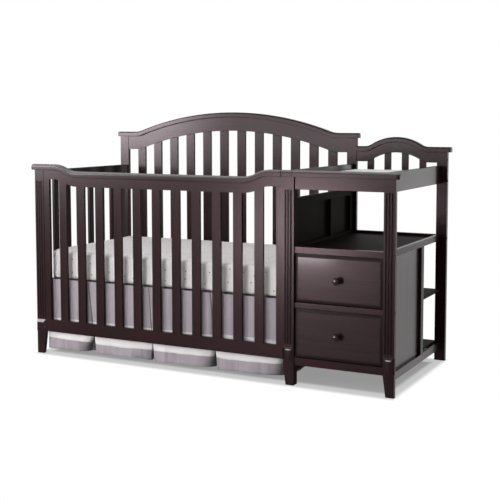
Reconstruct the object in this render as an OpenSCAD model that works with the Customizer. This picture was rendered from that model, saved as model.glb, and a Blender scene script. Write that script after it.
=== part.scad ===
// Crib with attached changer: a convertible wooden crib whose right end carries a
// changing table with a tray, an open bay, a two-drawer chest and side shelves.
// Every module is drawn from the outer face of the left posts (X), the front face
// of the front posts (Y) and the floor (Z), and placed() moves it to the centre.

/* [Overall] */
// Width over the outer faces of the end posts
total_w = 1864; // [1800:1:1940]
// Width of a post, seen from the front
post_w = 52; // [46:1:60]
// Thickness of a post, front to back
post_d = 20; // [18:1:24]
// Front face of the back posts, from the front face of the front posts
depth_to_back = 739; // [720:1:760]
// Height of the front posts, under their cap
front_h = 912; // [890:1:940]
// Height of the back posts of the crib, under their cap
back_h = 1066; // [1040:1:1100]

/* [Crib] */
// Left face of the middle posts
mid_x = 1352; // [1340:1:1360]
// Thickness of the top rails, front to back
rail_t = 16; // [14:1:18]
// Thickness of a slat, front to back
slat_t = 12; // [10:1:13]
// Width of a slat in the front of the crib
slat_w = 44; // [40:1:46]
// Width of a slat in the back of the crib
back_slat_w = 50; // [44:1:54]
// Width of a slat in the left end and behind the changer
small_slat_w = 34; // [28:1:44]
// Slats in the front of the crib
front_slat_count = 11; // [10:1:12]
// Slats in the back of the crib
back_slat_count = 12; // [11:1:13]
// Slats in the left end of the crib
end_slat_count = 7; // [6:1:8]
// Height of the front top rail
front_rail_h = 45; // [38:1:52]
// How far the front rail dips between its two ends
front_dip = 33; // [24:1:36]
// Distance in which the front rail goes down to its dip
front_dip_run = 138; // [120:1:160]
// Lower edge of the bottom rails
bottom_rail_z = 112; // [100:1:120]
// Height of the bottom rails
bottom_rail_h = 60; // [50:1:66]
// Height of the arch over the back posts
arch_rise = 104; // [80:1:115]
// Height of the arched back rail
arch_rail_h = 71; // [60:1:80]
// Thickness of the front caps
cap_t = 28; // [24:1:30]
// Thickness of the back caps
back_cap_t = 25; // [20:1:28]
// How far the front caps reach past the end posts
cap_over = 16; // [10:1:20]

/* [Changer] */
// Height of the back posts of the changer, under the cap
changer_back_h = 1002; // [980:1:1030]
// Height of the changer's arch over its back posts
changer_rise = 46; // [36:1:54]
// Height of the changer's arched rail
changer_rail_h = 50; // [44:1:56]
// Slats in the back of the changer
changer_slat_count = 4; // [3:1:5]
// Top of the middle shelf's rails
shelf_z = 610; // [600:1:620]
// Height of the shelf's rails
shelf_rail_h = 28; // [24:1:30]
// Thickness of the side boards and frame strips
board_t = 18; // [16:1:20]
// Back of the drawer cabinet, from the front face of the front posts
cabinet_depth = 490; // [460:1:510]
// Top of the small side shelf behind the drawers
side_shelf_z = 347; // [330:1:360]

/* [Drawers] */
// Top of the rail between the two drawers
drawer_rail_z = 367; // [360:1:372]
// Height of the rail between the two drawers
drawer_rail_h = 24; // [20:1:26]
// Bevelled margin round a drawer front's raised field
field_margin = 14; // [8:1:20]
// Height of the sides of a drawer
drawer_side_h = 150; // [120:1:160]
// Length of a drawer, front to back, behind its front
drawer_len = 402; // [360:1:410]
// Diameter of a knob
knob_dia = 33; // [30:1:36]
// How far a knob stands out of its drawer
knob_reach = 34; // [30:1:36]

/* [Soft goods] */
// Top of the mattress at its edge
mattress_top = 512; // [500:1:520]
// Thickness of the mattress at its edge
mattress_h = 136; // [120:1:140]
// Height of the skirt's hem over the floor
hem_z = 24; // [16:1:40]
// Top of the changing pad at its edge
pad_top = 910; // [900:1:914]

/* [Hidden] */
$fn = 48;

wood = [0.21, 0.16, 0.17];
wood_dark = [0.16, 0.12, 0.13];
metal = [0.55, 0.55, 0.57];
metal_dark = [0.13, 0.11, 0.11];
sheet_white = [0.88, 0.87, 0.86];
lavender = [0.63, 0.59, 0.63];

// Lines along X that the pieces are set out from
left_in = post_w;
mid_in = mid_x + post_w;
right_x = total_w - post_w;
crib_mid = (left_in + mid_x) / 2;
bay_mid = (mid_in + right_x) / 2;

// Lines along Y
back_y = depth_to_back;
back_face = back_y + post_d;
face_set = 2.5;                     // fluted faces lie this far behind the feet's face
rail_y = face_set + 1.5;            // front of the crib's front rails
changer_y = 10;                     // front of the changer's front rails
mid_post_d = 2 * post_d;            // the middle front post also carries the changer
cap_front = -8;
cap_back = 32;
back_cap_front = back_y - 8;
back_cap_back = back_face + 8;
knob_tip = changer_y - knob_reach;
mid_y = (knob_tip + back_cap_back) / 2;
back_rail_y = back_y + 2;

// The end panels stand in from the inner faces of the posts
end_out = left_in - 25;
end_in = left_in - 4;
side_in = right_x + 4;
side_out = side_in + board_t;
panel_t = 8;
divider_out = mid_in - 16;          // face of the divider's frame, in the bay
divider_in = divider_out - board_t; // where the frame meets its panel
divider_face = divider_in - panel_t;

// Heights
bottom_rail_top = bottom_rail_z + bottom_rail_h;
tray_rail_h = 55;
tray_z = front_h - tray_rail_h;
tray_top = front_h + cap_t - 1;
tray_floor_z = 866;
tray_floor_t = 10;
divider_h = 816;                    // top of the solid part of the divider
shelf_low = shelf_z - shelf_rail_h;
shelf_t = 12;
base_low = 52;
base_top = 86;
front_base_low = 90;
front_base_top = 124;
bottom_t = 10;

// The line where two caps meet shows as a thin groove; boards of one node that
// meet end to face are kept apart by a glue line
seam = 0.8;
joint_gap = 0.1;

module placed() {
    translate([-total_w / 2, -mid_y, 0]) children();
}

// A box between two corners
module block(from, to) {
    translate(from) cube(to - from);
}

// A plate in the XZ plane: an outline drawn in X and Z, from y0 to y1
module plate_xz(y0, y1) {
    translate([0, y1, 0]) rotate([90, 0, 0]) linear_extrude(y1 - y0) children();
}

// A plate in the YZ plane: an outline drawn in Y and Z, from x0 to x1
module plate_yz(x0, x1) {
    translate([x0, 0, 0]) rotate([90, 0, 90]) linear_extrude(x1 - x0) children();
}

// Cylinder along X from x0 to x1
module rod_x(x0, x1, y, z, r) {
    translate([x0, y, z]) rotate([0, 90, 0]) cylinder(h = x1 - x0, r = r);
}

// Cylinder along Y from y0 to y1
module rod_y(y0, y1, x, z, r) {
    translate([x, y0, z]) rotate([-90, 0, 0]) cylinder(h = y1 - y0, r = r);
}

// ---------- curved outlines ----------
// Both the arches and the front dip are one S: level, a small arc, then an arc
// the other way. s is the distance from the crown, h the rise and run the distance
// from the crown to where the line is level; big is the radius of the crown's arc.
function small_radius(run, h, big) = (run * run + h * h) / (2 * h) - big;
function tangent_at(run, h, big) = run * big / (big + small_radius(run, h, big));
function arch_z(s, run, h, big) =
    let (r = small_radius(run, h, big), t = tangent_at(run, h, big))
    s >= run ? 0 :
    s > t ? r - sqrt(r * r - (run - s) * (run - s)) :
    h - big + sqrt(big * big - s * s);

// Distances from the crown at which the line bends, from the middle outwards
function arch_steps(run, h, big, n_big, n_small) =
    let (t = tangent_at(run, h, big))
    concat(
        [for (i = [0 : n_big]) big * sin(asin(t / big) * i / n_big)],
        [for (i = [1 : n_small])
            let (r = small_radius(run, h, big))
            run - r * sin(asin((run - t) / r) * (n_small - i) / n_small)]
    );

// A symmetric line from x0 to x1 about its middle, as [x, z] points
function mirrored_line(x0, x1, mid, steps, heights) =
    concat(
        [[x0, heights[len(heights) - 1]]],
        [for (i = [len(steps) - 1 : -1 : 1]) [mid - steps[i], heights[i]]],
        [for (i = [0 : len(steps) - 1]) [mid + steps[i], heights[i]]],
        [[x1, heights[len(heights) - 1]]]
    );

// Underside of the crib's back cap
arch_run = 602;
arch_radius = 1657;
back_steps = arch_steps(arch_run, arch_rise, arch_radius, 14, 5);
function back_line(x0, x1) = mirrored_line(x0, x1, crib_mid, back_steps,
    [for (s = back_steps) back_h + arch_z(s, arch_run, arch_rise, arch_radius)]);

// Underside of the changer's back cap
changer_run = 162;
changer_radius = 237;
changer_steps = arch_steps(changer_run, changer_rise, changer_radius, 10, 4);
function changer_line(x0, x1) = mirrored_line(x0, x1, bay_mid, changer_steps,
    [for (s = changer_steps)
        changer_back_h + arch_z(s, changer_run, changer_rise, changer_radius)]);

// Underside of the front cap: level over the posts, an S down, then level
dip_start = left_in + 61;
dip_radius = (front_dip_run * front_dip_run + front_dip * front_dip) / (4 * front_dip);
dip_half_angle = 2 * atan(front_dip / front_dip_run);
dip_parts = 6;
dip_upper = [for (i = [0 : dip_parts])
    [dip_radius * sin(dip_half_angle * i / dip_parts),
     -dip_radius * (1 - cos(dip_half_angle * i / dip_parts))]];
dip_curve = concat(dip_upper,
    [for (i = [dip_parts - 1 : -1 : 0])
        [front_dip_run - dip_upper[i][0], -front_dip - dip_upper[i][1]]]);
dip_end = 2 * crib_mid - dip_start;
function front_line(x0, x1) = concat(
    [[x0, front_h]],
    [for (p = dip_curve) [dip_start + p[0], front_h + p[1]]],
    [for (i = [len(dip_curve) - 1 : -1 : 0])
        [dip_end - dip_curve[i][0], front_h + dip_curve[i][1]]],
    [[x1, front_h]]
);

// The band between a line and the same line moved down
module band(line, drop) {
    polygon(concat(line, [for (i = [len(line) - 1 : -1 : 0]) line[i] - [0, drop]]));
}

// Everything between a height and a line
module below(line, z0) {
    polygon(concat(line, [[line[len(line) - 1][0], z0], [line[0][0], z0]]));
}

// A cap that follows a line, with its upper edges rounded, as one closed skin
module cap_along(line, t, y0, y1, r) {
    arc = [for (a = [0 : 30 : 90]) [r - r * cos(a), t - r + r * sin(a)]];
    section = concat(
        [[y0, 0]], [for (p = arc) [y0 + p[0], p[1]]],
        [for (i = [len(arc) - 1 : -1 : 0]) [y1 - arc[i][0], arc[i][1]]], [[y1, 0]]
    );
    n = len(section);
    m = len(line);
    points = [for (p = line) for (q = section) [p[0], q[0], p[1] + q[1]]];
    sides = [for (i = [0 : m - 2]) for (j = [0 : n - 1])
        let (a = i * n + j, b = i * n + (j + 1) % n, c = a + n, d = b + n)
        each [[a, b, c], [b, d, c]]];
    ends = [for (j = [1 : n - 2]) each [
        [0, j + 1, j],
        [(m - 1) * n, (m - 1) * n + j, (m - 1) * n + j + 1]]];
    polyhedron(points, concat(sides, ends));
}

// ---------- posts ----------
flute_r = 4.5;
flute_sink = 3;
flute_low = 186;
flute_high = 852;
ankle_low = 155;
ankle_high = 170;
foot_top = bottom_rail_z;
foot_taper = 14;
corner_w = 14;                      // the ankle's corners are cut off this wide
corner_d = 8;
corner_low = foot_top - 12;
foot_set = 2.5;
bolt_r = 3.4;
bolt_hole_r = 3.6;
bolt_y = 14;
back_bolt_y = back_y + post_d / 2;
right_front_bolts = [shelf_z - 16, drawer_rail_z - 12, front_base_low + 17];
right_back_bolts = [changer_back_h - 36, tray_z + 10, shelf_z - 16];
left_front_bolts = [front_h - 22, bottom_rail_z + 30];
left_back_bolts = [back_h - 36, bottom_rail_z + 30];

module flute(x) {
    y = face_set + flute_sink - flute_r;
    translate([x, y, flute_low]) cylinder(h = flute_high - flute_low, r = flute_r, $fn = 24);
    translate([x, y, flute_low]) sphere(r = flute_r, $fn = 24);
    translate([x, y, flute_high]) sphere(r = flute_r, $fn = 24);
}

// The fluted face lies back from the foot's face and meets it in a sloped ankle
module face_cut(x, sides) {
    low_left = x + (min(sides) < 0 ? corner_w : 0);
    block([x - 1, -1, ankle_high], [x + post_w + 1, face_set, front_h + 1]);
    intersection() {
        plate_yz(x - 1, x + post_w + 1)
            polygon([[0, ankle_low], [face_set, ankle_high], [-1, ankle_high], [-1, ankle_low]]);
        plate_xz(-1, face_set)
            polygon([[x, ankle_high], [x + post_w, ankle_high],
                     [x + post_w - corner_w, ankle_low], [low_left, ankle_low]]);
    }
}

// One corner of the ankle, cut off between two slanted stops; side is -1 or 1
module corner_cut(x, side) {
    edge = side < 0 ? x : x + post_w;
    intersection() {
        plate_xz(-1, corner_d + 1)
            polygon([[edge + side, corner_low - 1], [edge + side, ankle_high + 1],
                     [edge, ankle_high], [edge - side * corner_w, ankle_low],
                     [edge - side * corner_w, foot_top], [edge, corner_low]]);
        translate([0, 0, corner_low - 2]) linear_extrude(ankle_high - corner_low + 4)
            polygon([[edge + side, -1], [edge - side * corner_w, -1],
                     [edge - side * corner_w, 0], [edge, corner_d],
                     [edge + side, corner_d + corner_d / corner_w]]);
    }
}

// A post from the floor, its foot set in a little, straight outside and tapered inside
module front_post(x, d, taper_side, sides = [-1, 1]) {
    left_cut = taper_side < 0 ? foot_taper : 0;
    right_cut = taper_side > 0 ? foot_taper : 0;
    difference() {
        union() {
            block([x, 0, foot_top], [x + post_w, d, front_h]);
            plate_xz(foot_set, d)
                polygon([[x + left_cut, 0], [x + post_w - right_cut, 0],
                         [x + post_w, foot_top - 10], [x + post_w, foot_top],
                         [x, foot_top], [x, foot_top - 10]]);
        }
        face_cut(x, sides);
        for (side = sides) corner_cut(x, side);
        for (i = [-1 : 1]) flute(x + post_w / 2 + 13 * i);
    }
}

module bolt_holes(x0, x1, y, heights) {
    for (z = heights) rod_x(x0, x1, y, z, bolt_hole_r);
}

module left_front_post() {
    color(wood) placed() difference() {
        front_post(0, post_d, 1, [1]);
        bolt_holes(-1, left_in + 1, bolt_y, left_front_bolts);
    }
}

module middle_front_post() {
    color(wood) placed() front_post(mid_x, mid_post_d, -1);
}

module right_front_post() {
    color(wood) placed() difference() {
        front_post(right_x, post_d, -1);
        bolt_holes(right_x - 1, total_w + 1, bolt_y, right_front_bolts);
    }
}

module left_back_post() {
    color(wood) placed() difference() {
        block([0, back_y, 0], [post_w, back_face, back_h]);
        bolt_holes(-1, left_in + 1, back_bolt_y, left_back_bolts);
    }
}

module middle_back_post() {
    color(wood) placed() block([mid_x, back_y, 0], [mid_in, back_face, back_h]);
}

module right_back_post() {
    color(wood) placed() difference() {
        block([right_x, back_y, 0], [total_w, back_face, changer_back_h]);
        bolt_holes(right_x - 1, total_w + 1, back_bolt_y, right_back_bolts);
    }
}

// ---------- front of the crib ----------
cap_block_x = mid_x - 7;
cap_join_x = mid_in - 5;
stile_left = 34;
slats_from = 29;                    // where the first gap would start without the stile
stile_right = 34;
bolt_depth = 26;

module front_top_rail() {
    color(wood) placed() difference() {
        plate_xz(rail_y, rail_y + rail_t) band(front_line(left_in, mid_x), front_rail_h);
        bolt_holes(left_in - 1, left_in + bolt_depth, bolt_y, [left_front_bolts[0]]);
    }
}

module front_cap() {
    color(wood) placed()
        cap_along(front_line(-cap_over, cap_block_x - seam), cap_t, cap_front, cap_back, 11);
}

module front_cap_block() {
    color(wood) placed()
        cap_along([[cap_block_x + seam, front_h], [cap_join_x - seam, front_h]],
                  cap_t, cap_front, cap_back, 11);
}

module front_bottom_rail() {
    color(wood) placed() difference() {
        block([left_in, rail_y, bottom_rail_z], [mid_x, rail_y + rail_t, bottom_rail_top]);
        bolt_holes(left_in - 1, left_in + bolt_depth, bolt_y, [left_front_bolts[1]]);
    }
}

// Upright slats between a height and a line, evenly spaced from x0 to x1
module slat_row(x0, x1, count, y0, z0, line, w = slat_w) {
    gap = (x1 - x0 - count * w) / (count + 1);
    for (i = [0 : count - 1])
        plate_xz(y0, y0 + slat_t) intersection() {
            translate([x0 + gap + i * (w + gap), z0]) square([w, 2000]);
            below(line, z0);
        }
}

slat_y = rail_y + (rail_t - slat_t) / 2;

module front_slats() {
    color(wood) placed()
        slat_row(left_in + slats_from, mid_x - stile_right, front_slat_count, slat_y,
                 bottom_rail_top,
                 [for (p = front_line(left_in, mid_x)) p - [0, front_rail_h]]);
}

module front_stiles() {
    high = front_h - front_rail_h;
    color(wood) placed() {
        block([left_in, rail_y, bottom_rail_top], [left_in + stile_left, rail_y + rail_t, high]);
        block([mid_x - stile_right, rail_y, bottom_rail_top], [mid_x, rail_y + rail_t, high]);
    }
}

// ---------- back of the crib ----------
module back_arch_rail() {
    color(wood) placed() difference() {
        plate_xz(back_rail_y, back_rail_y + rail_t) band(back_line(left_in, mid_x), arch_rail_h);
        bolt_holes(left_in - 1, left_in + bolt_depth, back_bolt_y, [left_back_bolts[0]]);
    }
}

module back_arch_cap() {
    over = 11;
    color(wood) placed()
        cap_along(back_line(-over, mid_in + over), back_cap_t, back_cap_front, back_cap_back, 6);
}

module back_slats() {
    color(wood) placed()
        slat_row(left_in + 8, mid_x, back_slat_count, back_rail_y + 2, bottom_rail_top,
                 [for (p = back_line(left_in, mid_x)) p - [0, arch_rail_h]], back_slat_w);
}

module back_bottom_rail() {
    color(wood) placed() difference() {
        block([left_in, back_rail_y, bottom_rail_z],
              [mid_x, back_rail_y + rail_t, bottom_rail_top]);
        bolt_holes(left_in - 1, left_in + bolt_depth, back_bolt_y, [left_back_bolts[1]]);
    }
}

// ---------- left end of the crib ----------
end_top_low = front_h - front_rail_h;    // level with the front rail's underside

module left_end_top_rail() {
    color(wood) placed() block([end_out, post_d, end_top_low], [end_in, back_y, front_h - 2]);
}

module left_end_bottom_rail() {
    color(wood) placed() block([end_out, post_d, bottom_rail_z], [end_in, back_y, bottom_rail_top]);
}

end_slat_t = slat_t + 5;

module left_end_slats() {
    first = 98;                     // measured: the row isn't in the middle of the end
    last = back_y - 25 - small_slat_w;
    color(wood) placed()
        for (i = [0 : end_slat_count - 1]) {
            y = first + i * (last - first) / (end_slat_count - 1);
            block([end_in - 3 - end_slat_t, y, bottom_rail_top],
                  [end_in - 3, y + small_slat_w, end_top_low]);
        }
}

// ---------- divider between the crib and the changer ----------
stile_w = 37;
strip_h = 30;
stile_y = cabinet_depth - stile_w;

module divider_top_board() {
    color(wood) placed() block([divider_in, mid_post_d, tray_z], [divider_out, back_y, tray_top]);
}

module divider_rails() {
    color(wood) placed() for (z = [[base_low, base_top], [shelf_low, shelf_z],
                                   [divider_h - strip_h, divider_h]])
        block([divider_in, mid_post_d, z[0]], [divider_out, back_y, z[1]]);
}

module divider_stiles() {
    color(wood) placed()
        for (y = [mid_post_d, stile_y, back_y - stile_w])
            for (z = [[base_top, shelf_low], [shelf_z, divider_h - strip_h]])
                block([divider_in, y, z[0]], [divider_out, y + stile_w, z[1]]);
}

module divider_panel() {
    color(wood_dark) placed() block([divider_face, mid_post_d, base_low],
                                    [divider_in, back_y, divider_h]);
}

// ---------- changer ----------
module changer_front_rail() {
    color(wood) placed() block([mid_in, changer_y, tray_z],
                               [right_x, changer_y + board_t, front_h]);
}

module changer_front_cap() {
    color(wood) placed()
        cap_along([[cap_join_x + seam, front_h], [total_w + cap_over, front_h]],
                  cap_t, cap_front, cap_back, 11);
}

module changer_side_board() {
    color(wood) placed() difference() {
        block([side_in, post_d, tray_z - 3], [side_out, back_y, tray_top]);
        block([side_in - 1, post_d - 1, front_h], [side_out + 1, cap_back + 0.3, tray_top + 1]);
    }
}

module changer_arch_rail() {
    color(wood) placed() difference() {
        plate_xz(back_rail_y, back_rail_y + rail_t)
            band(changer_line(mid_in, right_x), changer_rail_h);
        bolt_holes(right_x - bolt_depth, right_x + 1, back_bolt_y, [right_back_bolts[0]]);
    }
}

module changer_arch_cap() {
    color(wood) placed()
        cap_along(changer_line(mid_in + seam, total_w + cap_over), back_cap_t,
                  back_cap_front, back_cap_back, 6);
}

back_rail_top = tray_z + 50;

module changer_back_slats() {
    color(wood) placed()
        slat_row(mid_in, right_x, changer_slat_count, back_rail_y + 2, back_rail_top,
                 [for (p = changer_line(mid_in, right_x)) p - [0, changer_rail_h]],
                 small_slat_w);
}

module changer_back_rail() {
    color(wood) placed() difference() {
        block([mid_in, back_rail_y, tray_z], [right_x, back_rail_y + rail_t, back_rail_top]);
        bolt_holes(right_x - bolt_depth, right_x + 1, back_bolt_y, [right_back_bolts[1]]);
    }
}

// A board across the bay, notched round the posts it meets
module bay_board(x1, z0, z1) {
    difference() {
        block([divider_out, changer_y + board_t, z0], [x1, back_rail_y, z1]);
        block([mid_x, 0, z0 - 1], [mid_in, mid_post_d, z1 + 1]);
        block([mid_x, back_y, z0 - 1], [mid_in, back_face, z1 + 1]);
        block([right_x, back_y, z0 - 1], [total_w, back_face, z1 + 1]);
    }
}

module tray_floor() {
    color(wood) placed() bay_board(side_in, tray_floor_z, tray_floor_z + tray_floor_t);
}

module shelf_rails() {
    color(wood) placed() {
        difference() {
            block([mid_in, changer_y, shelf_low], [right_x, changer_y + board_t, shelf_z]);
            bolt_holes(right_x - bolt_depth, right_x + 1, bolt_y, [right_front_bolts[0]]);
        }
        difference() {
            block([mid_in, back_rail_y, shelf_low], [right_x, back_rail_y + rail_t, shelf_z]);
            bolt_holes(right_x - bolt_depth, right_x + 1, back_bolt_y, [right_back_bolts[2]]);
        }
        block([side_in, post_d, shelf_low], [side_out, back_y, shelf_z]);
    }
}

module middle_shelf() {
    color(wood) placed() bay_board(side_in, shelf_low + 2, shelf_low + 2 + shelf_t);
}

module drawer_rail() {
    color(wood) placed() difference() {
        block([mid_in, changer_y, drawer_rail_z - drawer_rail_h],
              [right_x, changer_y + board_t, drawer_rail_z]);
        bolt_holes(right_x - bolt_depth, right_x + 1, bolt_y, [right_front_bolts[1]]);
    }
}

module base_rails() {
    color(wood) placed() {
        difference() {
            block([mid_in, changer_y, front_base_low],
                  [right_x, changer_y + board_t, front_base_top]);
            bolt_holes(right_x - bolt_depth, right_x + 1, bolt_y, [right_front_bolts[2]]);
        }
        block([mid_in, back_rail_y, base_low], [right_x, back_rail_y + rail_t, base_top]);
        block([side_in, post_d, base_low], [side_out, back_y, base_top]);
    }
}

module bottom_panel() {
    color(wood) placed() bay_board(side_in, base_top, base_top + bottom_t);
}

side_panel_low = base_top + bottom_t;

// A thin board behind the stiles, thicker where it shows between them
module side_panel() {
    color(wood) placed() {
        block([side_in - panel_t, changer_y + board_t, side_panel_low],
              [side_in, cabinet_depth, shelf_low]);
        block([side_in, post_d + stile_w, base_top], [side_in + 5, stile_y, shelf_low]);
    }
}

module side_stiles() {
    color(wood) placed() {
        block([side_in, post_d, base_top], [side_out, post_d + stile_w, shelf_low]);
        block([side_in, stile_y, base_top], [side_out, cabinet_depth, shelf_low]);
    }
}

module cabinet_back() {
    color(wood_dark) placed() block([divider_out, cabinet_depth - 12, side_panel_low],
                                    [side_in - panel_t, cabinet_depth, shelf_low]);
}

module side_shelf() {
    color(wood) placed() block([divider_out, cabinet_depth, side_shelf_z - 12],
                               [side_out, back_y, side_shelf_z]);
}

// ---------- drawers ----------
runner_gap = 13;
box_left = mid_in + 2 + runner_gap;
box_right = side_in - panel_t - runner_gap;
box_mid = (box_left + box_right) / 2;
box_front = changer_y + board_t;
box_back = box_front + drawer_len;
box_side_t = 12;
front_gap = 2.5;
upper_low = drawer_rail_z;
upper_high = shelf_low;
lower_low = front_base_top;
lower_high = drawer_rail_z - drawer_rail_h;
runner_h = 36;
steel_t = 1.5;
roller_r = 8;
screw_r = 2.2;

function box_z(low) = low + 18;
function runner_z(low) = low + 22;
function knob_z(low, high) = (low + high) / 2;

// A drawer front: a flat back, and a raised field with mitred bevels round it
module drawer_front(low, high) {
    x0 = mid_in + front_gap;
    x1 = right_x - front_gap;
    z0 = low + front_gap;
    z1 = high - front_gap;
    y0 = changer_y;
    edge = y0 + 5;
    y1 = y0 + board_t;
    m = field_margin;
    difference() {
        intersection() {
            plate_yz(x0, x1) polygon([[y0, z0 + m], [edge, z0], [y1, z0],
                                      [y1, z1], [edge, z1], [y0, z1 - m]]);
            translate([0, 0, z0]) linear_extrude(z1 - z0)
                polygon([[x0 + m, y0], [x1 - m, y0], [x1, edge],
                         [x1, y1], [x0, y1], [x0, edge]]);
        }
        rod_y(y0 - 1, y1 + 1, bay_mid, knob_z(low, high), screw_r + 0.4);
    }
}

// Two sides and a back
module drawer_box(low) {
    z0 = box_z(low);
    z1 = z0 + drawer_side_h;
    block([box_left, box_front, z0], [box_left + box_side_t, box_back, z1]);
    block([box_right - box_side_t, box_front, z0], [box_right, box_back, z1]);
    block([box_left + box_side_t + joint_gap, box_back - box_side_t, z0],
          [box_right - box_side_t - joint_gap, box_back, z1]);
}

module drawer_bottom(low) {
    z0 = box_z(low) + 6;
    block([box_left + box_side_t, box_front, z0],
          [box_right - box_side_t, box_back - box_side_t, z0 + 6]);
}

// The moving runner: a web on the drawer's side, a flange over the cabinet's
// roller, and its own roller at the back
module moving_runner(low) {
    z = runner_z(low);
    plate_xz(box_front + 4, box_back)
        polygon([[box_left - steel_t, z + 2.2], [box_left, z + 2.2], [box_left, z + 28],
                 [box_left - 9, z + 28], [box_left - 9, z + 26.4], [box_left - steel_t, z + 26.4]]);
    rod_x(box_left - 9, box_left - steel_t, box_back - roller_r - 2, z + steel_t + 0.3 + roller_r,
          roller_r);
}

// The cabinet's runner: a web, a floor for the moving roller, and a roller in front
module fixed_runner(low) {
    z = runner_z(low);
    x = box_left - runner_gap;
    plate_xz(mid_post_d, box_back + 20)
        polygon([[x, z], [box_left - 2.2, z], [box_left - 2.2, z + steel_t],
                 [x + steel_t, z + steel_t], [x + steel_t, z + runner_h], [x, z + runner_h]]);
    rod_x(x + steel_t, box_left - 2.2, mid_post_d + roller_r + 4, z + 18, roller_r);
}

module both_sides() {
    children();
    translate([2 * box_mid, 0, 0]) mirror([1, 0, 0]) children();
}

module runner_cleats() {
    color(wood_dark) placed() for (low = [lower_low, upper_low])
        block([divider_out, mid_post_d, runner_z(low) - 4],
              [box_left - runner_gap, cabinet_depth - 12, runner_z(low) + runner_h + 4]);
}

module cabinet_runners() {
    color(metal) placed() for (low = [lower_low, upper_low]) both_sides() fixed_runner(low);
}

// A turned knob: a domed head on a waisted neck, and the screw that holds it
module knob(low, high) {
    r = knob_dia / 2;
    reach = knob_reach;
    rim = reach - 9;                // distance of the head's widest ring
    foot_r = 9;
    waist_r = 6;
    translate([bay_mid, changer_y, knob_z(low, high)]) {
        rotate([90, 0, 0]) rotate_extrude() difference() {
            union() {
                square([foot_r, 2]);
                square([waist_r + 1, rim]);
                intersection() {
                    translate([0, rim]) circle(r = r);
                    translate([0, rim - 5]) square([r, 14]);
                    translate([0, reach - 26]) circle(r = 26);
                    translate([0, rim - 5 + 26]) circle(r = 26);
                }
            }
            square([screw_r, 14]);
            translate([waist_r + 7, rim / 2]) circle(r = 7);
        }
        rod_y(-13.5, board_t, 0, 0, screw_r - 0.1);
        rod_y(board_t, board_t + 2.4, 0, 0, 4);
    }
}

module upper_drawer_front() { color(wood) placed() drawer_front(upper_low, upper_high); }
module upper_drawer_box() { color(wood_dark) placed() drawer_box(upper_low); }
module upper_drawer_bottom() { color(wood_dark) placed() drawer_bottom(upper_low); }
module upper_drawer_runners() { color(metal) placed() both_sides() moving_runner(upper_low); }
module upper_knob() { color(metal_dark) placed() knob(upper_low, upper_high); }
module lower_drawer_front() { color(wood) placed() drawer_front(lower_low, lower_high); }
module lower_drawer_box() { color(wood_dark) placed() drawer_box(lower_low); }
module lower_drawer_bottom() { color(wood_dark) placed() drawer_bottom(lower_low); }
module lower_drawer_runners() { color(metal) placed() both_sides() moving_runner(lower_low); }
module lower_knob() { color(metal_dark) placed() knob(lower_low, lower_high); }

// ---------- mattress support ----------
bar_s = 25;
support_top = mattress_top - mattress_h - 3;
support_low = support_top - bar_s;
support_x0 = end_in + 12;
support_x1 = divider_face - 12;
support_y0 = 48;
support_y1 = back_y - 17;
wire_r = 2;
cross_wires = 17;
long_wires = 5;

module support_frame() {
    color(metal_dark) placed() {
        for (y = [support_y0, support_y1 - bar_s])
            block([support_x0, y, support_low], [support_x1, y + bar_s, support_top]);
        for (x = [support_x0, support_x1 - bar_s])
            block([x, support_y0 + bar_s + joint_gap, support_low],
                  [x + bar_s, support_y1 - bar_s - joint_gap, support_top]);
    }
}

module support_wires() {
    x0 = support_x0 + bar_s;
    x1 = support_x1 - bar_s;
    y0 = support_y0 + bar_s;
    y1 = support_y1 - bar_s;
    color(metal) placed() {
        for (i = [1 : cross_wires])
            rod_y(y0, y1, x0 + (x1 - x0) * i / (cross_wires + 1), support_top - 8, wire_r, $fn = 16);
        for (i = [1 : long_wires])
            rod_x(x0, x1, y0 + (y1 - y0) * i / (long_wires + 1),
                  support_top - 8 - 2 * wire_r - 0.1, wire_r, $fn = 16);
    }
}

// Angle brackets on the two ends, under the corners of the support
bracket_w = 34;
bracket_in = 2;

module bracket_pair(y) {
    plate = 3;
    reach = 34;
    drop = 30;
    plate_xz(y, y + bracket_w)
        polygon([[end_in, support_low - drop], [end_in + plate, support_low - drop],
                 [end_in + plate, support_low - plate], [end_in + reach, support_low - plate],
                 [end_in + reach, support_low], [end_in, support_low]]);
    plate_xz(y, y + bracket_w)
        polygon([[divider_face, support_low - drop], [divider_face - plate, support_low - drop],
                 [divider_face - plate, support_low - plate],
                 [divider_face - reach, support_low - plate],
                 [divider_face - reach, support_low], [divider_face, support_low]]);
}

module support_brackets() {
    color(metal_dark) placed() {
        bracket_pair(support_y0 + bracket_in);
        bracket_pair(support_y1 - bracket_in - bracket_w);
    }
}

// Connecting bolts: a thin round head on the post's outer face and a shank
module bolt(out, side, y, z) {
    head_r = 6;
    head_t = 1.6;
    shank = post_w + bolt_depth - 2;
    translate([out, y, z]) rotate([0, side * 90, 0]) {
        cylinder(h = head_t, r = head_r);
        translate([0, 0, -shank]) cylinder(h = shank, r = bolt_r);
    }
}

module frame_bolts() {
    color(metal_dark) placed() {
        for (z = right_front_bolts) bolt(total_w, 1, bolt_y, z);
        for (z = right_back_bolts) bolt(total_w, 1, back_bolt_y, z);
        for (z = left_front_bolts) bolt(0, -1, bolt_y, z);
        for (z = left_back_bolts) bolt(0, -1, back_bolt_y, z);
    }
}

// ---------- soft goods ----------
// A rounded rectangle as points, centred, seen from above
function round_rect(w, d, r, n) = [for (k = [0 : 3]) for (i = [0 : n])
    let (a = 90 * k + 90 * i / n,
         cx = (k == 0 || k == 3 ? 1 : -1) * (w / 2 - r),
         cy = (k == 0 || k == 1 ? 1 : -1) * (d / 2 - r))
    [cx + r * cos(a), cy + r * sin(a)]];

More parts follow.
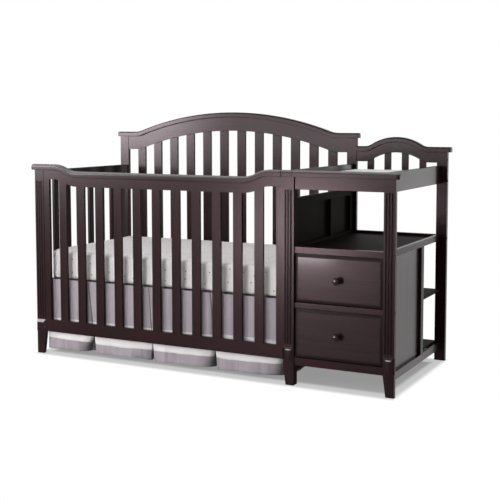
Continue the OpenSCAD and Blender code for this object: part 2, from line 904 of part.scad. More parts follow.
// A cushion: rings of one outline, each set in and lifted, the first one the flat
// underside, closed at both ends; levels are [inset, height] pairs
module cushion(w, d, r, levels, n) {
    ring = 4 * (n + 1);
    count = len(levels);
    points = concat(
        [for (v = levels) for (p = round_rect(w - 2 * v[0], d - 2 * v[0], max(r - v[0] * 0.5, 6), n))
            [p[0], p[1], v[1]]],
        [[0, 0, levels[0][1]], [0, 0, levels[count - 1][1]]]);
    low = count * ring;
    sides = [for (i = [0 : count - 2]) for (j = [0 : ring - 1])
        let (a = i * ring + j, b = i * ring + (j + 1) % ring)
        each [[a, a + ring, b], [b, a + ring, b + ring]]];
    caps = [for (j = [0 : ring - 1]) each [
        [low, j, (j + 1) % ring],
        [low + 1, (count - 1) * ring + (j + 1) % ring, (count - 1) * ring + j]]];
    polyhedron(points, concat(sides, caps));
}

mattress_w = divider_face - end_in - 6;
mattress_d = back_y - 40;
mattress_y = 36 + mattress_d / 2;
mattress_low = mattress_top - mattress_h;
pad_w = side_in - divider_out - 8;
pad_y0 = mid_post_d + 3;
pad_d = back_y - 6 - pad_y0;
pad_low = tray_floor_z + tray_floor_t + 0.3;
pad_h = pad_top - pad_low;

module mattress() {
    h = mattress_h;
    color(sheet_white) placed()
        translate([(end_in + divider_face) / 2, mattress_y, mattress_low])
            cushion(mattress_w, mattress_d, 34, [
                [13, 0], [4, 9], [1, 26], [3, h * 0.5], [0.5, h - 28], [4, h - 11], [12, h - 2],
                [26, h + 2], [70, h + 4.5], [160, h + 6], [280, h + 6.5]], 7);
}

module changing_pad() {
    h = pad_h;
    color(sheet_white) placed()
        translate([(divider_out + side_in) / 2, pad_y0 + pad_d / 2, pad_low])
            cushion(pad_w, pad_d, 24, [
                [6, 0], [1.5, 5], [0, h * 0.45], [1.5, h - 8], [6, h - 2], [16, h + 1.5],
                [50, h + 3], [110, h + 3.5], [180, h + 3.7]], 6);
}

// A hanging strip of cloth from z1 down to z0, t thick: each spot of the line is
// [x, depth at the top, depth at the hem], and grow is the side the depth goes to
module hanging(line, y, z0, z1, t, grow, rows) {
    n = len(line);
    function spot(i, k, off) =
        let (f = k / rows, fold = line[i][1] + (line[i][2] - line[i][1]) * f)
        [line[i][0], y + off + grow * fold, z1 + (z0 - z1) * f];
    points = concat(
        [for (k = [0 : rows]) for (i = [0 : n - 1]) spot(i, k, 0)],
        [for (k = [0 : rows]) for (i = [0 : n - 1]) spot(i, k, t)]);
    back = (rows + 1) * n;
    faces = [for (k = [0 : rows - 1]) for (i = [0 : n - 2])
        let (a = k * n + i, b = a + 1, c = a + n, d = c + 1)
        each [[a, b, c], [b, d, c], [back + a, back + c, back + b], [back + b, back + c, back + d]]];
    rims = concat(
        [for (i = [0 : n - 2]) each [
            [i, back + i, i + 1], [i + 1, back + i, back + i + 1],
            [rows * n + i, rows * n + i + 1, back + rows * n + i],
            [rows * n + i + 1, back + rows * n + i + 1, back + rows * n + i]]],
        [for (k = [0 : rows - 1]) each [
            [k * n, (k + 1) * n, back + k * n], [(k + 1) * n, back + (k + 1) * n, back + k * n],
            [k * n + n - 1, back + k * n + n - 1, (k + 1) * n + n - 1],
            [(k + 1) * n + n - 1, back + k * n + n - 1, back + (k + 1) * n + n - 1]]]);
    polyhedron(points, concat(faces, rims));
}

pleats = [318, 650, 985];
pleat_open = [26, 15, 18];          // half the width of each pleat at the hem
pleat_depth = 16;
skirt_top = mattress_low - 2.6;
skirt_y = 24;
cloth_t = 2;
skirt_x0 = end_in + 5;
skirt_x1 = mid_x - 8;
drop_x1 = divider_face - 5;

// Depth of the cloth behind its front line at the top (f = 0) and at the hem
// (f = 1): flat panels with a soft ripple, and an inverted pleat between them
function fold_at(x, f) =
    let (near = [for (i = [0 : len(pleats) - 1])
             abs(x - pleats[i]) / (6 + (pleat_open[i] - 6) * f)],
         m = min(near))
    (m < 1 ? pleat_depth * (0.5 + 0.5 * f) * (1 + cos(180 * m)) / 2 : 0)
    + (0.8 + 1.2 * f) * (1 + sin(360 * (x - pleats[0]) / 111));

// Where the folds of the front are sampled: closer together in the pleats
panel_steps = 14;
panel_ends = concat([skirt_x0], pleats, [skirt_x1]);
skirt_line = concat(
    [for (p = [0 : len(pleats)])
        let (a = panel_ends[p] + (p == 0 ? 0 : 30),
             b = panel_ends[p + 1] - (p == len(pleats) ? 0 : 30))
        each concat(
            [for (i = [0 : panel_steps]) a + (b - a) * i / panel_steps],
            p == len(pleats) ? [] : [for (d = [-22, -15, -10, -6, -3, 0, 3, 6, 10, 15, 22])
                pleats[p] + d])]);

module skirt_front() {
    color(lavender) placed()
        hanging([for (x = skirt_line) [x, fold_at(x, 0), fold_at(x, 1)]],
                skirt_y, hem_z, skirt_top, cloth_t, 1, 5);
}

// The two ends and the back of the skirt, and the flat cloth under the mattress
module skirt_sides() {
    steps = 36;
    y0 = support_y0 + bracket_in + bracket_w + 4;
    y1 = back_y - 8;
    y2 = support_y1 - bracket_in - bracket_w - 4;
    end_line = [for (i = [0 : steps])
        let (d = 2 * (1 + sin(360 * 4 * i / steps))) [y0 + (y2 - y0) * i / steps, 0.4 * d, d]];
    back_line = [for (i = [0 : 2 * steps])
        let (d = 3 * (1 + sin(360 * 9 * i / (2 * steps))))
        [skirt_x0 + 14 + (drop_x1 - skirt_x0 - 28) * i / (2 * steps), 0.4 * d, d]];
    color(lavender) placed() {
        translate([skirt_x0 + 1, 0, 0]) rotate([0, 0, 90]) mirror([0, 1, 0])
            hanging(end_line, 0, hem_z, skirt_top, cloth_t, 1, 3);
        translate([drop_x1 - 1 - cloth_t, 0, 0]) rotate([0, 0, 90]) mirror([0, 1, 0])
            hanging(end_line, 0, hem_z, skirt_top, cloth_t, -1, 3);
        hanging(back_line, y1 - cloth_t, hem_z, skirt_top, cloth_t, -1, 3);
        block([skirt_x0 + 12, support_y0, support_top + 0.2],
              [drop_x1 - 12, support_y1, mattress_low - 0.4]);
    }
}

left_front_post();
middle_front_post();
right_front_post();
left_back_post();
middle_back_post();
right_back_post();
front_top_rail();
front_cap();
front_cap_block();
front_bottom_rail();
front_slats();
front_stiles();
back_arch_rail();
back_arch_cap();
back_slats();
back_bottom_rail();
left_end_top_rail();
left_end_bottom_rail();
left_end_slats();
divider_top_board();
divider_rails();
divider_stiles();
divider_panel();
changer_front_rail();
changer_front_cap();
changer_side_board();
changer_arch_rail();
changer_arch_cap();
changer_back_slats();
changer_back_rail();
tray_floor();
shelf_rails();
middle_shelf();
drawer_rail();
base_rails();
bottom_panel();
side_panel();
side_stiles();
cabinet_back();
side_shelf();
runner_cleats();
cabinet_runners();
upper_drawer_front();
upper_drawer_box();
upper_drawer_bottom();
upper_drawer_runners();
upper_knob();
lower_drawer_front();
lower_drawer_box();
lower_drawer_bottom();
lower_drawer_runners();
lower_knob();
support_frame();
support_wires();
support_brackets();
frame_bolts();
mattress();
skirt_front();
skirt_sides();
changing_pad();
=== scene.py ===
import math

import bmesh
import bpy
import numpy as np
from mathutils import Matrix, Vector, noise


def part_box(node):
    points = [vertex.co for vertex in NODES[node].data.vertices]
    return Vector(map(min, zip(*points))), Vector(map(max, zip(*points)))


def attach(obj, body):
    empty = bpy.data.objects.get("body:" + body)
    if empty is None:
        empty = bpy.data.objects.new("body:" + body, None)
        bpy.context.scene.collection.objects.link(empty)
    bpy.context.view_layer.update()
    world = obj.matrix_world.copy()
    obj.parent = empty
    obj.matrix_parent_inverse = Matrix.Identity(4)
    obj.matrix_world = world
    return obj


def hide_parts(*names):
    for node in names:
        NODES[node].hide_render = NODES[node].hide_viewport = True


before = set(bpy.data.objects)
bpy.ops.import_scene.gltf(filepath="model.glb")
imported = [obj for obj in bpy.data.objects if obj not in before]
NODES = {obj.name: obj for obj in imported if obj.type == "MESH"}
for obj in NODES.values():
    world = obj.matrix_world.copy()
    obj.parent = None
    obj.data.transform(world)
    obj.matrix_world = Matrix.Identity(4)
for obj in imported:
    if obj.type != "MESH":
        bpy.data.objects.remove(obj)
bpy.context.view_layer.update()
SCENE = bpy.context.scene

# The drawing's millimetres run from the left posts' outer face, the front posts'
# front face and the floor; the frame's origin is the middle of the whole.
CENTRE_X, CENTRE_Y = 932.0, 371.5


def at(x, y, z):
    return Vector(((x - CENTRE_X) / 1000, (y - CENTRE_Y) / 1000, z / 1000))


# ---------------------------------------------------------------- camera
def make_camera():
    data = bpy.data.cameras.new("view")
    data.sensor_width = 36.0
    data.lens = 71.70
    data.shift_x = -0.0241
    data.shift_y = -0.0973
    data.clip_end = 60.0
    camera = bpy.data.objects.new("view", data)
    SCENE.collection.objects.link(camera)
    camera.location = at(3196.4, -3867.7, 1151.6)
    camera.rotation_euler = (math.radians(85.369), 0.0, math.radians(26.682))
    SCENE.camera = camera


make_camera()


# ---------------------------------------------------------------- materials
class Shader:
    """A material's node tree, with short calls for the nodes used here."""

    def __init__(self, name):
        self.material = bpy.data.materials.new(name)
        self.material.use_nodes = True
        self.tree = self.material.node_tree
        self.tree.nodes.clear()
        self.out = self.node("ShaderNodeOutputMaterial")
        self.surface = self.node("ShaderNodeBsdfPrincipled")
        self.link(self.surface.outputs[0], self.out.inputs["Surface"])
        self.coords = self.node("ShaderNodeTexCoord")

    def node(self, kind, **settings):
        made = self.tree.nodes.new(kind)
        for key, value in settings.items():
            setattr(made, key, value)
        return made

    def link(self, source, target):
        self.tree.links.new(source, target)

    def put(self, socket, value):
        if isinstance(value, bpy.types.NodeSocket):
            self.link(value, socket)
        else:
            socket.default_value = value

    def math(self, operation, a, b=0.0, c=0.0):
        made = self.node("ShaderNodeMath", operation=operation)
        for socket, value in zip(made.inputs, (a, b, c)):
            self.put(socket, value)
        return made.outputs[0]

    def stretched(self, scale=(1.0, 1.0, 1.0), source="Object"):
        made = self.node("ShaderNodeMapping")
        self.link(self.coords.outputs[source], made.inputs["Vector"])
        made.inputs["Scale"].default_value = scale
        return made.outputs[0]

    def place(self):
        """The object's own coordinates, one socket each."""
        made = self.node("ShaderNodeSeparateXYZ")
        self.link(self.coords.outputs["Object"], made.inputs[0])
        return made.outputs

    def noise(self, vector, scale, detail=3.0, rough=0.5, distort=0.0):
        made = self.node("ShaderNodeTexNoise")
        self.link(vector, made.inputs["Vector"])
        made.inputs["Scale"].default_value = scale
        made.inputs["Detail"].default_value = detail
        made.inputs["Roughness"].default_value = rough
        made.inputs["Distortion"].default_value = distort
        return made.outputs["Fac"]

    def span(self, value, low, high, to_low=0.0, to_high=1.0):
        made = self.node("ShaderNodeMapRange")
        for key, number in (("From Min", low), ("From Max", high),
                            ("To Min", to_low), ("To Max", to_high)):
            made.inputs[key].default_value = number
        self.link(value, made.inputs["Value"])
        return made.outputs["Result"]

    def mix(self, factor, first, second):
        made = self.node("ShaderNodeMix", data_type="RGBA")
        self.put(made.inputs["Factor"], factor)
        colours = [s for s in made.inputs if s.type == "RGBA"]
        for socket, value in zip(colours, (first, second)):
            if isinstance(value, tuple):
                value = (*value, 1.0)
            self.put(socket, value)
        return [s for s in made.outputs if s.type == "RGBA"][0]

    def along(self, value, line, low, high):
        """The height of a line of [x, height] points, from 0 at low to 1 at high."""
        made = self.node("ShaderNodeValToRGB")
        first, last = line[0][0], line[-1][0]
        self.link(self.span(value, at(first, 0, 0).x, at(last, 0, 0).x), made.inputs["Fac"])
        stops = made.color_ramp.elements
        for x, _ in line[1:-1]:
            stops.new((x - first) / (last - first))
        for stop, (_, height) in zip(stops, line):
            stop.color = (*[(height - low) / (high - low)] * 3, 1.0)
        return made.outputs[0]

    def bump(self, height, strength, distance, under=None):
        made = self.node("ShaderNodeBump")
        made.inputs["Strength"].default_value = strength
        made.inputs["Distance"].default_value = distance
        self.link(height, made.inputs["Height"])
        if under is not None:
            self.link(under, made.inputs["Normal"])
        return made.outputs["Normal"]

    def set(self, **values):
        for key, value in values.items():
            socket = self.surface.inputs[key.replace("_", " ")]
            if isinstance(value, tuple) and len(value) == 3:
                value = (*value, 1.0)
            self.put(socket, value)


AXES = {"x": 0, "y": 1, "z": 2}


def wood_material(name, axis, dark, light, rough, specular, coat=0.0):
    """Stained and lacquered wood, its grain along one axis."""
    s = Shader(name)
    wide, fine = [26.0] * 3, [420.0] * 3
    wide[AXES[axis]], fine[AXES[axis]] = 1.6, 9.0
    figure = s.noise(s.stretched(wide), 1.0, 5.0, 0.6, 0.8)
    fibre = s.noise(s.stretched(fine), 1.0, 3.0, 0.6)
    cloud = s.noise(s.stretched(), 2.4, 2.0, 0.5)
    tone = s.math("ADD", s.math("MULTIPLY", s.span(figure, 0.25, 0.75), 0.55),
                  s.math("MULTIPLY", s.span(fibre, 0.25, 0.75), 0.45))
    colour = s.mix(tone, dark, light)
    # lighter convex edges: partly wear, partly a painted highlight along them
    edge = s.node("ShaderNodeNewGeometry").outputs["Pointiness"]
    wear_and_highlight = s.math("MULTIPLY", s.span(edge, 0.515, 0.58), s.span(cloud, 0.35, 0.7, 0.1, 0.55))
    colour = s.mix(wear_and_highlight, colour, tuple(1.9 * c for c in light))
    s.set(Base_Color=colour,
          Roughness=s.span(figure, 0.25, 0.75, rough - 0.015, rough + 0.02),
          Normal=s.bump(fibre, 0.04, 0.0004))
    s.surface.inputs["Specular IOR Level"].default_value = specular
    s.surface.inputs["Specular Tint"].default_value = (1.0, 0.85, 0.92, 1.0)
    s.surface.inputs["Coat Weight"].default_value = coat
    s.surface.inputs["Coat Roughness"].default_value = 0.1
    s.surface.inputs["Coat IOR"].default_value = 1.4
    return s.material


DARK, LIGHT = (0.0106, 0.0039, 0.0041), (0.0143, 0.0055, 0.0057)
WOOD = {a: wood_material("espresso_" + a, a, DARK, LIGHT, 0.25, 0.095) for a in AXES}
GLOSS = {"x": wood_material("lacquered_x", "x", DARK, LIGHT, 0.27, 0.095, 0.2)}
POLISHED = wood_material("polished_knob", "x", DARK, LIGHT, 0.11, 0.09, 0.2)
# the left post's ankle slope in a light colour: a painted highlight
LEFT_LEDGE_HIGHLIGHT = wood_material("left_ledge_painted_highlight", "x", (0.28, 0.26, 0.265), (0.36, 0.34, 0.345), 0.3, 0.2)


ANKLES = (1378, 1838)                        # the middle of the middle and right posts
# where the painted highlight sits, at the slope's lower edge
HIGHLIGHT_HEIGHTS = (0.1605, 0.1575)               # the slope's lower edge


def ledge_line_highlight_material():
    """The slope over an ankle: dark, with a painted highlight along its lower edge towards the
    middle.
    """
    s = Shader("ledge_line_painted_highlight")
    spot = s.place()
    off = s.math("MINIMUM", *(s.math("ABSOLUTE", s.math("SUBTRACT", spot["X"],
                                                        at(x, 0, 0).x)) for x in ANKLES))
    fibre = s.noise(s.stretched((9.0, 420.0, 420.0)), 1.0, 3.0, 0.6)
    highlight_share = s.math("MULTIPLY", s.span(spot["Z"], *HIGHLIGHT_HEIGHTS),
                    s.span(off, 0.015, 0.005, 0.1, 1.0))
    dark = s.mix(s.span(fibre, 0.25, 0.75), DARK, LIGHT)
    s.set(Base_Color=s.mix(highlight_share, dark, (0.5, 0.46, 0.46)),
          Roughness=s.span(fibre, 0.25, 0.75, 0.27, 0.35))
    s.surface.inputs["Specular IOR Level"].default_value = 0.15
    return s.material


LEDGE_LINE_HIGHLIGHT = ledge_line_highlight_material()


def cap_highlight_material():
    """Painted highlight on the front caps' rounded upper edges: a lighter colour there."""
    s = Shader("cap_painted_highlight")
    fibre = s.noise(s.stretched((9.0, 420.0, 420.0)), 1.0, 3.0, 0.6)
    s.set(Base_Color=s.mix(s.span(fibre, 0.25, 0.75), (0.11, 0.1, 0.103), (0.14, 0.13, 0.133)),
          Roughness=s.span(fibre, 0.25, 0.75, 0.25, 0.32))
    s.surface.inputs["Specular IOR Level"].default_value = 0.5
    return s.material


CAP_HIGHLIGHT = cap_highlight_material()
PANEL = {a: wood_material("veneered_" + a, a, DARK, LIGHT, 0.3, 0.36) for a in "yz"}
# darker wood for the flutes and the step around the drawers' fields: painted shade
RECESS_SHADE = {a: wood_material("recess_painted_shade_" + a, a, (0.005, 0.0024, 0.0024),
                           (0.009, 0.0045, 0.0045), 0.45, 0.06) for a in "xz"}
MATT = {a: wood_material("board_" + a, a, (0.009, 0.005, 0.0042), (0.0135, 0.008, 0.007),
                         0.62, 0.035) for a in AXES}


def metal_material(name, colour, rough, metallic, speckle):
    s = Shader(name)
    grain = s.noise(s.stretched(), speckle, 2.0)
    cloud = s.noise(s.stretched(), 9.0, 3.0)
    s.set(Base_Color=s.mix(s.span(cloud, 0.3, 0.7), tuple(0.85 * c for c in colour), colour),
          Roughness=s.span(cloud, 0.25, 0.75, rough - 0.05, rough + 0.08),
          Normal=s.bump(grain, 0.08, 0.0003))
    s.surface.inputs["Metallic"].default_value = metallic
    return s.material


ZINC = metal_material("zinc", (0.55, 0.55, 0.56), 0.35, 1.0, 900.0)
COATED = metal_material("coated_steel", (0.55, 0.54, 0.52), 0.42, 0.0, 1200.0)
BLACK = metal_material("powder_black", (0.022, 0.022, 0.024), 0.5, 0.0, 1500.0)
BRONZE = metal_material("dark_bronze", (0.05, 0.038, 0.034), 0.28, 0.9, 900.0)


def weave(s, scale):
    """Threads crossing over and under, from two waves."""
    threads = []
    for direction in ("X", "Y"):
        wave = s.node("ShaderNodeTexWave", wave_type="BANDS", bands_direction=direction)
        s.link(s.stretched(source="UV"), wave.inputs["Vector"])
        wave.inputs["Scale"].default_value = scale
        wave.inputs["Distortion"].default_value = 0.6
        wave.inputs["Detail"].default_value = 1.0
        threads.append(wave.outputs["Fac"])
    return s.math("ADD", s.math("MULTIPLY", threads[0], 0.5), s.math("MULTIPLY", threads[1], 0.5))


def sheet_material():
    """White sheet cloth with small, widely spaced grey dots."""
    s = Shader("dotted_sheet")
    spots = s.node("ShaderNodeTexVoronoi", voronoi_dimensions="2D", feature="F1")
    s.link(s.stretched(source="UV"), spots.inputs["Vector"])
    spots.inputs["Scale"].default_value = 17.0
    spots.inputs["Randomness"].default_value = 0.62
    dot = s.span(spots.outputs["Distance"], 0.062, 0.046)
    cloud = s.noise(s.stretched(), 7.0, 3.0)
    threads = weave(s, 420.0)
    white = s.mix(s.span(cloud, 0.3, 0.7), (0.81, 0.775, 0.775), (0.85, 0.82, 0.82))
    white = s.mix(s.span(threads, 0.2, 0.9, 0.0, 0.3), white, (0.76, 0.74, 0.735))
    # painted shade of faint creases along the mattress where the sheet is pulled over its front
    # edge
    spot = s.place()
    crease_shade = s.span(s.noise(s.stretched((3.0, 110.0, 240.0)), 1.0, 2.0), 0.52, 0.66, 0.0, 0.32)
    crease_shade = s.math("MULTIPLY", crease_shade, s.span(spot["Z"], 0.496, 0.506))
    white = s.mix(crease_shade, white, (0.50, 0.475, 0.48))
    s.set(Base_Color=s.mix(dot, white, (0.13, 0.12, 0.145)),
          Roughness=s.span(cloud, 0.3, 0.7, 0.82, 0.9),
          Normal=s.bump(threads, 0.25, 0.0004,
                        s.bump(s.noise(s.stretched(), 22.0, 4.0), 0.25, 0.004)))
    s.surface.inputs["Sheen Weight"].default_value = 0.25
    s.surface.inputs["Sheen Roughness"].default_value = 0.5
    return s.material


DEEP_SHADE = (0.016, 0.012, 0.013)


def skirt_material():
    """Lavender-grey cloth with a white band between two seams over the hem."""
    s = Shader("banded_skirt")
    spot = s.place()
    wander = s.noise(s.stretched((1.0, 1.0, 0.0)), 9.0, 2.0)
    height = s.math("ADD", spot["Z"], s.span(wander, 0.3, 0.7, -0.0012, 0.0012))
    # the last panel's band reaches a little higher than the others'
    rise = s.span(spot["X"], 0.055, 0.060, 0.0, BAND_STEP)
    from_top = s.math("SUBTRACT", s.math("ADD", rise, BAND_HIGH), height)
    low, high = BAND_RANGE
    hem = s.math("MULTIPLY_ADD", s.along(spot["X"], BAND_LINE, low, high),
                 (high - low) / 1000, low / 1000)
    over_hem = s.math("SUBTRACT", height, hem)
    in_band = s.math("MULTIPLY", s.span(over_hem, -0.0006, 0.0006),
                     s.span(from_top, -0.0006, 0.0006))
    cloud = s.noise(s.stretched(), 6.0, 3.0)
    slub = s.noise(s.stretched((60.0, 60.0, 900.0)), 1.0, 2.0)
    threads = weave(s, 380.0)
    grey = s.mix(s.span(cloud, 0.3, 0.7), (0.262, 0.228, 0.256), (0.32, 0.283, 0.31))
    grey = s.mix(s.span(slub, 0.45, 0.75, 0.0, 0.5), grey, (0.37, 0.335, 0.355))
    white = s.mix(s.span(cloud, 0.3, 0.7), (0.635, 0.617, 0.612), (0.70, 0.685, 0.68))
    seams = None
    for over in (over_hem, s.math("MULTIPLY", from_top, -1.0),
                 s.math("SUBTRACT", height, HEM_STITCH)):
        near = s.math("ABSOLUTE", s.math("SUBTRACT", over, 0.003))
        line = s.span(near, 0.0015, 0.0004)
        seams = line if seams is None else s.math("MAXIMUM", seams, line)
    # painted shade in soft upright folds of the cloth
    fold_shade = s.noise(s.stretched((30.0, 4.0, 1.3)), 1.0, 2.0, 0.5)
    grey = s.mix(s.span(fold_shade, 0.5, 0.66, 0.0, 0.34), grey, (0.11, 0.09, 0.1))
    # painted shade: the cloth darker over its upper part
    grey = s.mix(s.span(spot["Z"], 0.18, 0.21, 0.0, 0.16), grey,
                 (0.05, 0.04, 0.045))
    # painted shade: the last panel's band darkened in crumple-like patches along its upper seam
    crumple_shade = s.span(s.noise(s.stretched((16.0, 4.0, 60.0)), 1.0, 3.0), 0.42, 0.62, 0.0, 0.6)
    crumple_shade = s.math("MULTIPLY", crumple_shade, s.math(
        "MULTIPLY", s.span(spot["Z"], 0.158, 0.166),
        s.span(spot["X"], 0.062, 0.075)))
    # painted shade: the band darker towards its upper edge
    white = s.mix(s.span(spot["Z"], 0.156, 0.168, 0.0, 0.3), white,
                  (0.30, 0.27, 0.29))
    white = s.mix(crumple_shade, white, (0.25, 0.225, 0.24))
    # painted shade where each hem turns out of the light before a pleat
    dim = s.math("MULTIPLY", s.along(spot["X"], DIM_LINE, 0.0, 1.0),
                 s.span(spot["Z"], 0.13, 0.1))
    grey = s.mix(dim, grey, DEEP_SHADE)
    white = s.mix(s.math("MULTIPLY", dim, 0.22), white, DEEP_SHADE)
    colour = s.mix(in_band, grey, white)
    colour = s.mix(s.math("MULTIPLY", seams, 0.35), colour, (0.2, 0.18, 0.2))
    # little light gets into the pleats, between the front's plane and their backs
    into = s.math("MULTIPLY", s.span(spot["Y"], *PLEAT_SHADE),
                  s.span(spot["Y"], *PLEAT_END))
    colour = s.mix(into, colour, DEEP_SHADE)
    tall = s.math("SUBTRACT", threads, s.math("MULTIPLY", seams, 3.0))
    s.set(Base_Color=colour, Roughness=s.span(cloud, 0.3, 0.7, 0.8, 0.9),
          Normal=s.bump(tall, 0.3, 0.0004,
                        s.bump(s.noise(s.stretched((1.0, 1.0, 0.35)), 26.0, 4.0), 0.35, 0.004)))
    s.surface.inputs["Sheen Weight"].default_value = 0.3
    s.surface.inputs["Sheen Roughness"].default_value = 0.5
    return s.material


def pad_material():
    """Wipe-clean white cover with a fine leathery grain."""
    s = Shader("pad_cover")
    cells = s.node("ShaderNodeTexVoronoi", feature="F1")
    s.link(s.stretched(), cells.inputs["Vector"])
    cells.inputs["Scale"].default_value = 700.0
    cloud = s.noise(s.stretched(), 8.0, 3.0)
    s.set(Base_Color=s.mix(s.span(cloud, 0.3, 0.7), (0.74, 0.735, 0.72), (0.80, 0.795, 0.785)),
          Roughness=s.span(cloud, 0.3, 0.7, 0.42, 0.55),
          Normal=s.bump(cells.outputs["Distance"], 0.15, 0.0003,
                        s.bump(s.noise(s.stretched(), 14.0, 3.0), 0.3, 0.004)))
    return s.material


BAND_HIGH, BAND_STEP, HEM_STITCH = 0.179, 0.008, 0.031
BAND_RANGE = (64.0, 84.0)
# where the white band's lower edge runs: [x, height] in millimetres
BAND_LINE = ((55, 79), (100, 77), (200, 74.5), (330, 74), (345, 71), (480, 68.5), (560, 71),
             (650, 76), (674, 73), (800, 73.5), (960, 76), (1010, 77.5), (1040, 74.5),
             (1150, 75.5), (1250, 78), (1345, 82))
SKIRT_Y = 25.0
PLEAT_SHADE = (at(0, SKIRT_Y + 6, 0).y, at(0, SKIRT_Y + 20, 0).y, 0.0, 0.97)
PLEAT_END = (at(0, SKIRT_Y + 60, 0).y, at(0, SKIRT_Y + 54, 0).y)
SKIRT_X0, SKIRT_X1 = 53.5, 1343.0
# Each pleat: where the next panel's edge is at the deck and at the hem, how wide the pleat
# stands open at the deck, at the rail and at the hem, and over what width the panel's end
# curls back at the hem.
PLEATS = ((299.0, 343.0, 5.0, 12.0, 52.0, 84.0), (647.0, 674.0, 4.0, 8.0, 23.0, 5.0),
          (980.0, 1014.0, 4.0, 9.0, 26.0, 112.0))
# A hem turns out of the light over its last stretch before it goes back into a pleat.
HEM_TURN, HEM_SHADE = 100.0, 0.45
DIM_LINE = [(SKIRT_X0, 0.0)]
for hem_end in [edge - wide for _, edge, _, _, wide, _ in PLEATS] + [SKIRT_X1]:
    DIM_LINE += [(hem_end - HEM_TURN, 0.0), (hem_end, HEM_SHADE)]
    if hem_end < SKIRT_X1:
        DIM_LINE.append((hem_end + 6.0, 0.0))
SHEET, SKIRT, PAD = sheet_material(), skirt_material(), pad_material()


# ---------------------------------------------------------------- mesh helpers
def new_object(name, vertices, faces, smooth=True):
    mesh = bpy.data.meshes.new(name)
    mesh.from_pydata([tuple(v) for v in vertices], [], [tuple(f) for f in faces])
    mesh.validate()
    bm = bmesh.new()
    bm.from_mesh(mesh)
    bmesh.ops.recalc_face_normals(bm, faces=bm.faces)
    bm.to_mesh(mesh)
    bm.free()
    for p in mesh.polygons:
        p.use_smooth = smooth
    made = bpy.data.objects.new(name, mesh)
    SCENE.collection.objects.link(made)
    return made


def applied(piece):
    """The piece with its modifiers made part of its mesh."""
    bpy.context.view_layer.update()
    shown = piece.evaluated_get(bpy.context.evaluated_depsgraph_get())
    mesh = bpy.data.meshes.new_from_object(shown)
    piece.modifiers.clear()
    piece.data = mesh
    return piece


def even_normals(piece):
    """Flat faces shade flat, and only the rounded edges between them turn."""
    for p in piece.data.polygons:
        p.use_smooth = True
    made = piece.modifiers.new("normals", "WEIGHTED_NORMAL")
    made.keep_sharp = True
    made.weight = 90
    return applied(piece)


def finished(piece, material, slot, *nodes, body="crib"):
    piece.data.materials.clear()
    piece.data.materials.append(material)
    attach(piece, body)
    if nodes:
        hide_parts(*nodes)
    return piece


def softened(node, width, segments=2, angle=32.0):
    """A copy of a CAD node's boards with their edges eased by width millimetres."""
    bm = bmesh.new()
    bm.from_mesh(NODES[node].data)
    bmesh.ops.remove_doubles(bm, verts=bm.verts, dist=2e-5)
    bmesh.ops.dissolve_limit(bm, angle_limit=math.radians(0.6), verts=bm.verts, edges=bm.edges)
    sharp = [e for e in bm.edges
             if len(e.link_faces) == 2 and e.calc_face_angle(0.0) > math.radians(angle)]
    bmesh.ops.bevel(bm, geom=sharp, offset=width / 1000, offset_type="OFFSET",
                    segments=segments, profile=0.5, affect="EDGES", clamp_overlap=True)
    mesh = bpy.data.meshes.new(node + "_eased")
    bm.to_mesh(mesh)
    bm.free()
    piece = bpy.data.objects.new(node + "_eased", mesh)
    SCENE.collection.objects.link(piece)
    return even_normals(piece)


def material_on_faces(piece, material, chosen):
    """Another material on some faces: painted shade in recesses, a painted highlight on ledges and
    caps' edges, or another finish.
    """
    piece.data.materials.append(material)
    for p in piece.data.polygons:
        if chosen(p.center, p.normal):
            p.material_index = len(piece.data.materials) - 1
    return piece


# ---------------------------------------------------------------- wood
WOODEN = {
    "front_top_rail": ("x", 1.5), "front_bottom_rail": ("x", 1.5), "front_slats": ("z", 2.2),
    "front_stiles": ("z", 1.5), "back_arch_rail": ("x", 1.5), "back_slats": ("z", 2.2),
    "back_bottom_rail": ("x", 1.5), "left_end_top_rail": ("y", 1.8),
    "left_end_bottom_rail": ("y", 1.5), "left_end_slats": ("z", 2.2),
    "left_back_post": ("z", 1.8), "middle_back_post": ("z", 1.8), "right_back_post": ("z", 1.8),
    "divider_top_board": ("y", 2.0),
    "changer_front_rail": ("x", 1.5), "changer_side_board": ("y", 2.0),
    "changer_arch_rail": ("x", 1.5), "changer_back_slats": ("z", 2.2),
    "changer_back_rail": ("x", 1.5), "tray_floor": ("x", 0.8), "shelf_rails": ("x", 1.4),
    "drawer_rail": ("x", 1.2), "base_rails": ("x", 1.4),
    "side_panel": ("z", 0.8), "side_stiles": ("z", 1.2),
}
for node, (grain, width) in WOODEN.items():
    finish = GLOSS if node == "drawer_rail" else \
        PANEL if node in ("side_panel", "divider_top_board") else WOOD
    board = finished(softened(node, width), finish[grain], "espresso_wood", node)
    if node == "base_rails":                     # its right side is as smooth as the panel
        material_on_faces(board, PANEL["y"], lambda c, n: n.x > 0.9)
for node, grain in (("divider_panel", "z"), ("cabinet_back", "z"), ("runner_cleats", "y"),
                    ("divider_rails", "y"), ("divider_stiles", "z"), ("middle_shelf", "x"),
                    ("bottom_panel", "x"), ("side_shelf", "x")):
    finished(softened(node, 0.8), MATT[grain], "espresso_board", node)

# Where the front posts' flutes and the step around a drawer's raised field get painted
# shade, and where the slopes over the ankles get a painted highlight, in metres.
POST_FACE = at(0, 2.5, 0).y
FLUTE_NEAR, FLUTE_DEEP, FLUTE_LOW, FLUTE_HIGH = POST_FACE + 0.0004, POST_FACE + 0.006, 0.18, 0.86
LEDGE_LOW, LEDGE_HIGH = 0.1552, 0.1698
STEP_DEEP, STEP_IN = 0.0056, 0.0139

